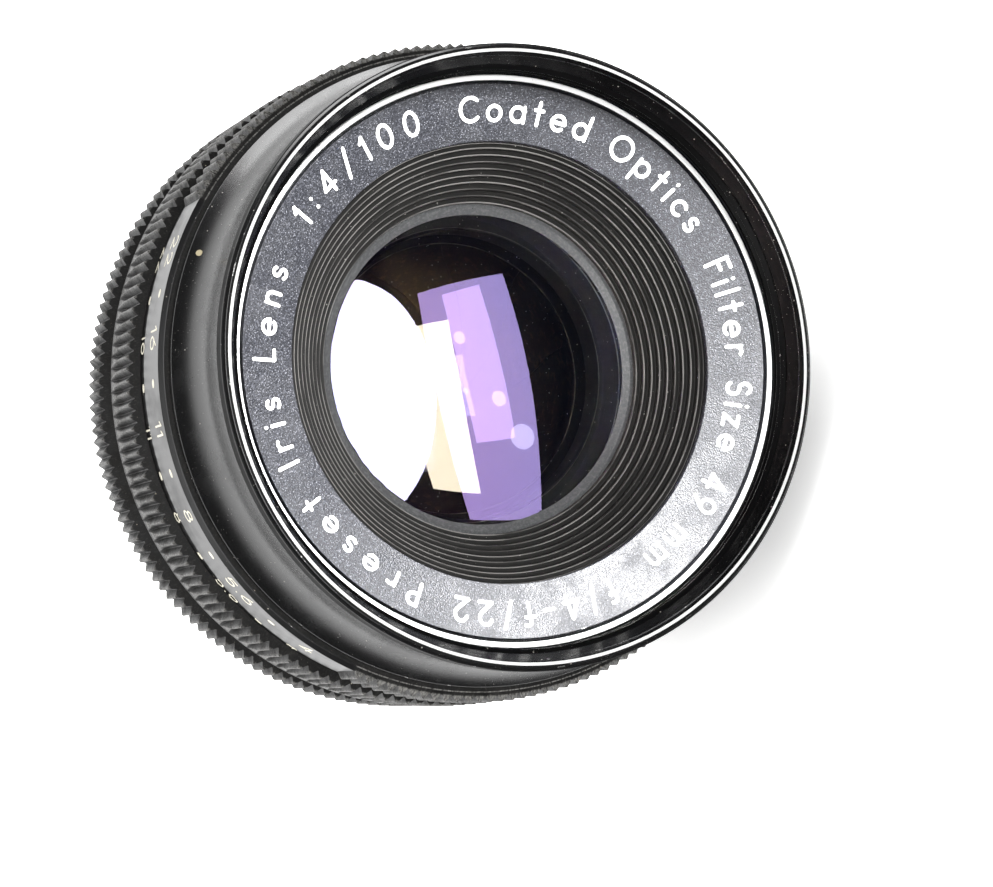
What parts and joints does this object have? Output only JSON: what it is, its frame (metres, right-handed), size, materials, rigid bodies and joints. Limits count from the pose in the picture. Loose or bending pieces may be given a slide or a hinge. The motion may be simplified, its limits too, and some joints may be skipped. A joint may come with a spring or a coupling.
{
  "type": "screw-mount preset macro lens",
  "caption": "Short telephoto macro lens with a preset iris: screw mount, knurled preset and aperture rings, interleaved iris blades and a stepped front baffle round coated glass.",
  "frame": {"origin": "centre of the mount's seating flange, on the optical axis", "axes": "+Y along the optical axis towards the camera, so the lens faces -Y; +Z towards the index mark"},
  "size_m": [0.0576, 0.0412, 0.0576],
  "materials": {
    "anodised_satin": "black anodised, satin",
    "anodised_knurl": "black anodised, knurled and dusty",
    "crinkle_paint": "fine black crinkle paint with white-filled engraving",
    "matt_black": "matt black",
    "coated_glass": "polished, lilac and amber anti-reflection coating",
    "steel": "turned",
    "blade_steel": "blackened",
    "mount_chrome": "satin chrome on brass"
  },
  "bodies": {
    "barrel": {"front_barrel": "anodised_satin", "main_barrel": "anodised_satin", "front_cell": "anodised_satin", "rear_cell": "anodised_satin", "name_ring": "crinkle_paint", "front_baffle": "matt_black", "front_retaining_ring": "matt_black", "center_cell": "matt_black", "iris_housing": "matt_black", "rear_retaining_ring": "matt_black", "rear_light_shield": "matt_black", "grip_ring": "anodised_knurl", "front_element": "coated_glass", "second_element": "coated_glass", "center_element": "coated_glass", "fourth_element": "coated_glass", "rear_element": "coated_glass", "friction_washer": "steel", "grip_screw_1": "steel", "grip_screw_2": "steel", "grip_screw_3": "steel", "mount_screw_1": "steel", "mount_screw_2": "steel", "mount_screw_3": "steel", "mount_ring": "mount_chrome"},
    "preset_ring": {"preset_ring": "anodised_knurl", "preset_stop_pin": "steel", "click_ball": "steel", "click_spring": "steel"},
    "aperture_ring": {"aperture_ring": "anodised_knurl", "aperture_drive_pin": "steel", "iris_cam_ring": "steel"},
    "iris_blade_01": {"iris_blade_01": "blade_steel"},
    "iris_blade_02": {"iris_blade_02": "blade_steel"},
    "iris_blade_03": {"iris_blade_03": "blade_steel"},
    "iris_blade_04": {"iris_blade_04": "blade_steel"},
    "iris_blade_05": {"iris_blade_05": "blade_steel"},
    "iris_blade_06": {"iris_blade_06": "blade_steel"},
    "iris_blade_07": {"iris_blade_07": "blade_steel"},
    "iris_blade_08": {"iris_blade_08": "blade_steel"},
    "iris_blade_09": {"iris_blade_09": "blade_steel"},
    "iris_blade_10": {"iris_blade_10": "blade_steel"}
  },
  "joints": [
    {"name": "preset_ring_turn", "type": "hinge", "parent": "barrel", "child": "preset_ring", "pos_m": [0, -0.0223, 0], "axis": [0, 1, 0], "range_deg": [0, 78.1]},
    {"name": "aperture_ring_turn", "type": "hinge", "parent": "barrel", "child": "aperture_ring", "pos_m": [0, -0.0147, 0], "axis": [0, 1, 0], "range_deg": [0, 78.1]},
    {"name": "iris_blade_01_swing", "type": "hinge", "parent": "barrel", "child": "iris_blade_01", "pos_m": [0, -0.0112, 0.0162], "axis": [0, 1, 0], "range_deg": [0, 36.4]},
    {"name": "iris_blade_02_swing", "type": "hinge", "parent": "barrel", "child": "iris_blade_02", "pos_m": [0.00952, -0.0112, 0.01311], "axis": [0, 1, 0], "range_deg": [0, 36.4]},
    {"name": "iris_blade_03_swing", "type": "hinge", "parent": "barrel", "child": "iris_blade_03", "pos_m": [0.01541, -0.0112, 0.00501], "axis": [0, 1, 0], "range_deg": [0, 36.4]},
    {"name": "iris_blade_04_swing", "type": "hinge", "parent": "barrel", "child": "iris_blade_04", "pos_m": [0.01541, -0.0112, -0.00501], "axis": [0, 1, 0], "range_deg": [0, 36.4]},
    {"name": "iris_blade_05_swing", "type": "hinge", "parent": "barrel", "child": "iris_blade_05", "pos_m": [0.00952, -0.0112, -0.01311], "axis": [0, 1, 0], "range_deg": [0, 36.4]},
    {"name": "iris_blade_06_swing", "type": "hinge", "parent": "barrel", "child": "iris_blade_06", "pos_m": [0, -0.0112, -0.0162], "axis": [0, 1, 0], "range_deg": [0, 36.4]},
    {"name": "iris_blade_07_swing", "type": "hinge", "parent": "barrel", "child": "iris_blade_07", "pos_m": [-0.00952, -0.0112, -0.01311], "axis": [0, 1, 0], "range_deg": [0, 36.4]},
    {"name": "iris_blade_08_swing", "type": "hinge", "parent": "barrel", "child": "iris_blade_08", "pos_m": [-0.01541, -0.0112, -0.00501], "axis": [0, 1, 0], "range_deg": [0, 36.4]},
    {"name": "iris_blade_09_swing", "type": "hinge", "parent": "barrel", "child": "iris_blade_09", "pos_m": [-0.01541, -0.0112, 0.00501], "axis": [0, 1, 0], "range_deg": [0, 36.4]},
    {"name": "iris_blade_10_swing", "type": "hinge", "parent": "barrel", "child": "iris_blade_10", "pos_m": [-0.00952, -0.0112, 0.01311], "axis": [0, 1, 0], "range_deg": [0, 36.4]}
  ],
  "couplings": [
    {"joint": "iris_blade_01_swing", "follows": "aperture_ring_turn", "ratio": 0.46513},
    {"joint": "iris_blade_02_swing", "follows": "aperture_ring_turn", "ratio": 0.46513},
    {"joint": "iris_blade_03_swing", "follows": "aperture_ring_turn", "ratio": 0.46513},
    {"joint": "iris_blade_04_swing", "follows": "aperture_ring_turn", "ratio": 0.46513},
    {"joint": "iris_blade_05_swing", "follows": "aperture_ring_turn", "ratio": 0.46513},
    {"joint": "iris_blade_06_swing", "follows": "aperture_ring_turn", "ratio": 0.46513},
    {"joint": "iris_blade_07_swing", "follows": "aperture_ring_turn", "ratio": 0.46513},
    {"joint": "iris_blade_08_swing", "follows": "aperture_ring_turn", "ratio": 0.46513},
    {"joint": "iris_blade_09_swing", "follows": "aperture_ring_turn", "ratio": 0.46513},
    {"joint": "iris_blade_10_swing", "follows": "aperture_ring_turn", "ratio": 0.46513}
  ]
}
